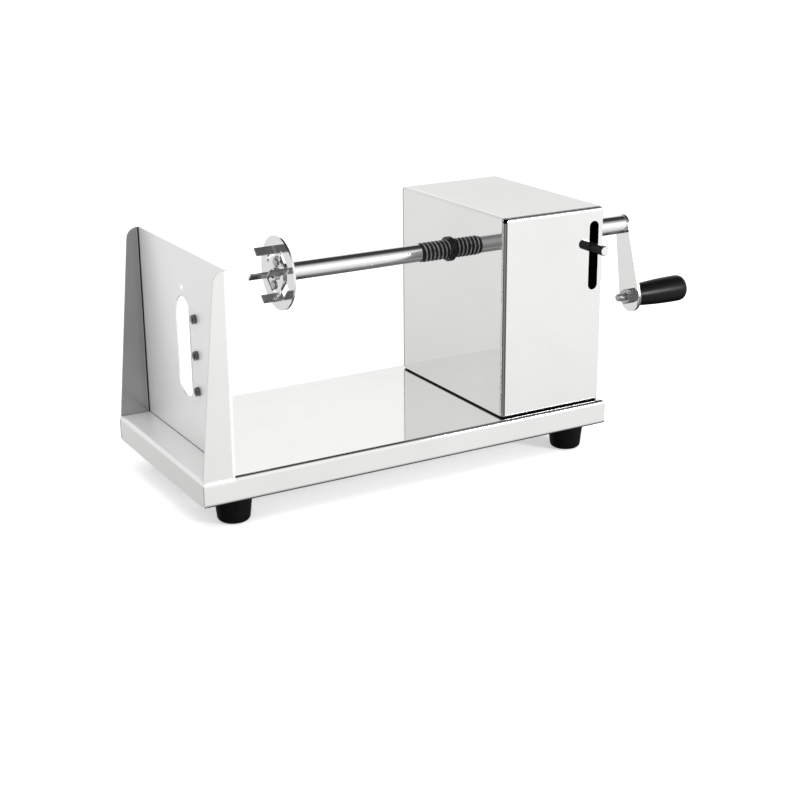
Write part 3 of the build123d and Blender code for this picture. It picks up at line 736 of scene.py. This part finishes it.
# %% Handle bolt
bolt_low, bolt_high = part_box("handle_bolt")
bolt_y, bolt_z = (bolt_low[1] + bolt_high[1]) / 2, (bolt_low[2] + bolt_high[2]) / 2
bolt_end = bolt_low[0]
bolt_radius = 3.0 * mm
bolt_head = 3.6 * mm
bolt_head_radius = (bolt_high[2] - bolt_low[2]) / 2
head_start = bolt_high[0] - bolt_head
rings = [
    ring(bolt_end, bolt_radius - 0.8 * mm),
    *thread_rings(bolt_end + 0.6 * mm, bolt_end + 12.5 * mm, 1.0 * mm, 0.45 * mm, bolt_radius, 8),
    ring(bolt_end + 12.8 * mm, bolt_radius),
    ring(head_start, bolt_radius),
    *head_rings(head_start, bolt_head, bolt_head_radius, 0.9 * mm, hexagon(4.0 * mm), 2.0 * mm),
]
bolt_axis = Matrix.Translation((0.0, bolt_y, bolt_z))
handle_screw = solid_of_rings("handle_screw", rings, [bolt_axis])
dress(handle_screw, "spindle", "handle_bolt", fastener_steel)

# %% [markdown]
# ## The rear cover's screws
# Four small screws hold the cover on the housing. Their heads have a cross. One stack of rings
# along X is turned to point backwards and is set down four times, near the corners of the box
# that holds the CAD screws.

# %% Cover screws
cover_low, cover_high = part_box("rear_cover_screws")
shank_radius = 1.5 * mm
cover_head = 1.8 * mm
cover_head_radius = 2.8 * mm
shank = cover_high[1] - cover_low[1] - cover_head
rings = [
    ring(0.0, shank_radius),
    ring(shank, shank_radius),
    *head_rings(
        shank, cover_head, cover_head_radius, 0.7 * mm, cross(1.5 * mm, 0.35 * mm), 1.0 * mm
    ),
]
to_back = Matrix.Rotation(pi / 2, 4, "Z")
places = []
for x in (cover_low[0] + cover_head_radius, cover_high[0] - cover_head_radius):
    for z in (cover_low[2] + cover_head_radius, cover_high[2] - cover_head_radius):
        places.append(Matrix.Translation((x, cover_low[1], z)) @ to_back)
cross_screws = solid_of_rings("cross_screws", rings, places)
dress(cross_screws, "base", "rear_cover_screws", fastener_steel)

# %% [markdown]
# ## The studio
# Polished steel is lit by what it mirrors, so the studio is mostly a white room. Its floor gets
# darker straight below, and the wall at the back left is a little grey, which gives each face a
# tone of its own. A photographer adds dark cards: one beside the camera draws the dark lines along
# the upright folds, one overhead and one underneath give the round parts their dark edges. Here
# the world's colour, read from its direction, is that room.

# %% Walls and cards
world = bpy.data.worlds.new("studio")
bpy.context.scene.world = world
world.use_nodes = True
nodes = Nodes(world.node_tree)
look_x, look_y, look_z = nodes.axes(nodes.make("TexCoord", output="Generated"))

# the angle round the room from the left end, rising towards the camera's side
around = (0.0 - look_y).angle_over(0.0 - look_x)
beside_camera = around.step(radians(-46), radians(-40)) * around.fall(radians(104), radians(112))
paler_stripe = around.step(radians(30), radians(36)) * around.fall(radians(66), radians(74))
side_card = beside_camera * look_z.step(-0.75, -0.6) * (0.93 - paler_stripe * 0.14)
side_card = side_card * (1.0 - look_z.step(0.0, 0.25) * 0.12)

to_right = 0.4 + look_x.step(0.1, 0.3) * 0.6
ceiling_card = look_z.step(0.46, 0.64) * look_y.step(-0.85, -0.10) * to_right
under_card = look_z.fall(-0.52, -0.38) * look_y.step(-0.4, -0.12) * look_x.step(0.0, 0.2) * 0.97
cards = side_card.larger(ceiling_card).larger(under_card)

behind = look_y.step(0.0, 0.3)
upper_grey = look_z.step(0.05, 0.3) * 0.2
lower_grey = look_z.fall(-0.42, -0.2) * 0.12
back_left = look_x.fall(-0.25, 0.15) * behind * (upper_grey + lower_grey)
low_wall = behind * look_z.fall(0.15, 0.38) * 0.17
floor_shade = 0.42 + look_z.step(-1.0, -0.1) * 0.58
room_white = floor_shade * (1.0 - cards * 0.96) * (1.0 - back_left) * (1.0 - low_wall)
print("walls and cards take", len(nodes.tree.nodes), "nodes")

# %% [markdown]
# ## Who sees the room
# Only mirrored rays see the walls and the cards. The camera, and what shines through, sees plain
# white, so the picture's background is white without more light on the machine. Scattered light
# comes from an even room.

# %% World
warm_white = (1.0, 0.998, 0.99, 1.0)
room_colour = blend(nodes, room_white, grey(0.0), warm_white)
seen_by_metal = nodes.make("Background", values={"Color": room_colour, "Strength": 1.0})
seen_by_camera = nodes.make("Background", values={"Color": grey(1.0), "Strength": 1.0})
room_light = nodes.make("Background", values={"Color": grey(1.0), "Strength": 0.85})
is_camera = nodes.make("LightPath", output="Is Camera Ray")
is_glossy = nodes.make("LightPath", output="Is Glossy Ray")
is_through = nodes.make("LightPath", output="Is Transmission Ray")
mirrored = nodes.make("MixShader", values={0: is_glossy, 1: room_light, 2: seen_by_metal})
sees_white = is_camera.larger(is_through)
room = nodes.make("MixShader", values={0: sees_white, 1: mirrored, 2: seen_by_camera})
nodes.make("OutputWorld", values={"Surface": room})
print("world made:", len(nodes.tree.nodes), "nodes")

# %% [markdown]
# ## The floor
# The floor is a large plain sheet. It scatters light and so keeps the shadow, and adds a little
# light of its own for the camera so that it reaches white. The steel doesn't mirror it, because
# the room already has a floor of its own for that.

# %% Floor
half = 8.0
height = -0.2 * mm  # just under the feet
corners = [(x, y, height) for x, y in ((-half, -half), (half, -half), (half, half), (-half, half))]
mesh = bpy.data.meshes.new("floor")
mesh.from_pydata(corners, [], [(0, 1, 2, 3)])
floor = bpy.data.objects.new("floor", mesh)
bpy.context.collection.objects.link(floor)

floor_white, nodes = new_material("floor_white")
is_camera = nodes.make("LightPath", output="Is Camera Ray")
scatter = nodes.make("BsdfDiffuse", values={"Color": grey(0.9)})
own_light = nodes.make("Emission", values={"Color": grey(1.0), "Strength": is_camera * 0.45})
both = nodes.make("AddShader", values={0: scatter, 1: own_light})
nodes.make("OutputMaterial", values={"Surface": both})
floor.data.materials.append(floor_white)
floor.visible_glossy = False
print("floor made,", 2 * half, "m wide")

# %% [markdown]
# ## Lamps
# A wide lamp over the machine draws the faint shadow on the floor. The steel doesn't mirror it. A
# small one low at the front right gives the black grip its highlight.

# %% Lamps
machine_middle = Vector((0.0, 0.0, 0.08))


def lamp(name, place, size, watts):
    """A square soft lamp that faces the machine's middle."""
    data = bpy.data.lights.new(name, "AREA")
    data.size = size
    data.energy = watts
    piece = bpy.data.objects.new(name, data)
    facing = (machine_middle - Vector(place)).to_track_quat("-Z", "Y").to_matrix().to_4x4()
    piece.matrix_world = Matrix.Translation(place) @ facing
    bpy.context.collection.objects.link(piece)
    return piece


key_lamp = lamp("key_lamp", (-0.3, -0.7, 1.5), 0.9, 7.0)
strip_lamp = lamp("strip_lamp", (0.75, -1.1, 0.42), 0.3, 11.0)
key_lamp.visible_glossy = False
print("lamps made:", key_lamp.name, strip_lamp.name)
